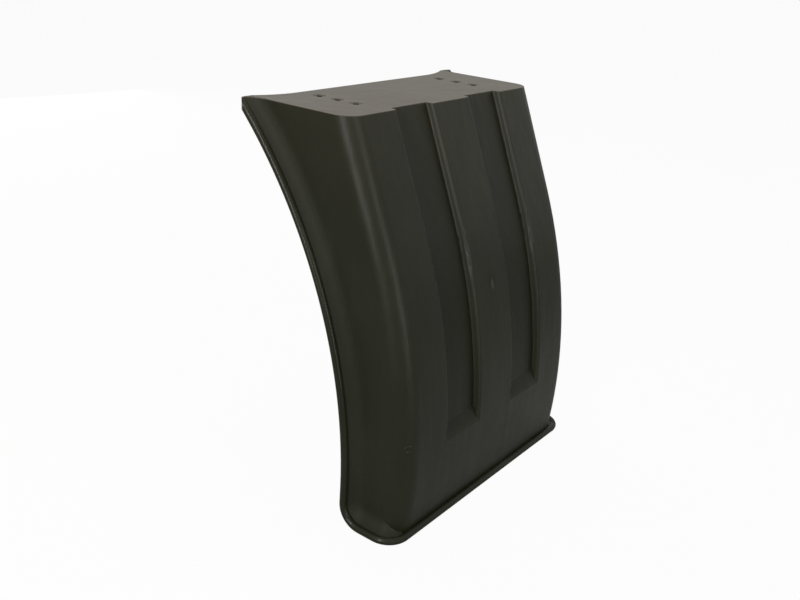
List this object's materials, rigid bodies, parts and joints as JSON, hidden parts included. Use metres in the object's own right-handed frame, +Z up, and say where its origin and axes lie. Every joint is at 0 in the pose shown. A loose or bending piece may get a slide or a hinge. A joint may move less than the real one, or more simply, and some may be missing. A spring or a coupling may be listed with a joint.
{
  "type": "mudguard",
  "caption": "Black moulded quarter mudguard with a flat drilled mounting plate, a curved channelled tread, flared side walls and a beaded rim.",
  "frame": {"origin": "middle of the six holes, on the upper face of the mounting plate", "axes": "+X out of the tread and away from the wheel, along the vehicle; +Y across the wheel; +Z up"},
  "size_m": [0.2794, 0.446, 0.525],
  "materials": {
    "moulded_plastic": "satin as-moulded surface"
  },
  "bodies": {
    "root": {"mudguard": "moulded_plastic"}
  },
  "joints": []
}
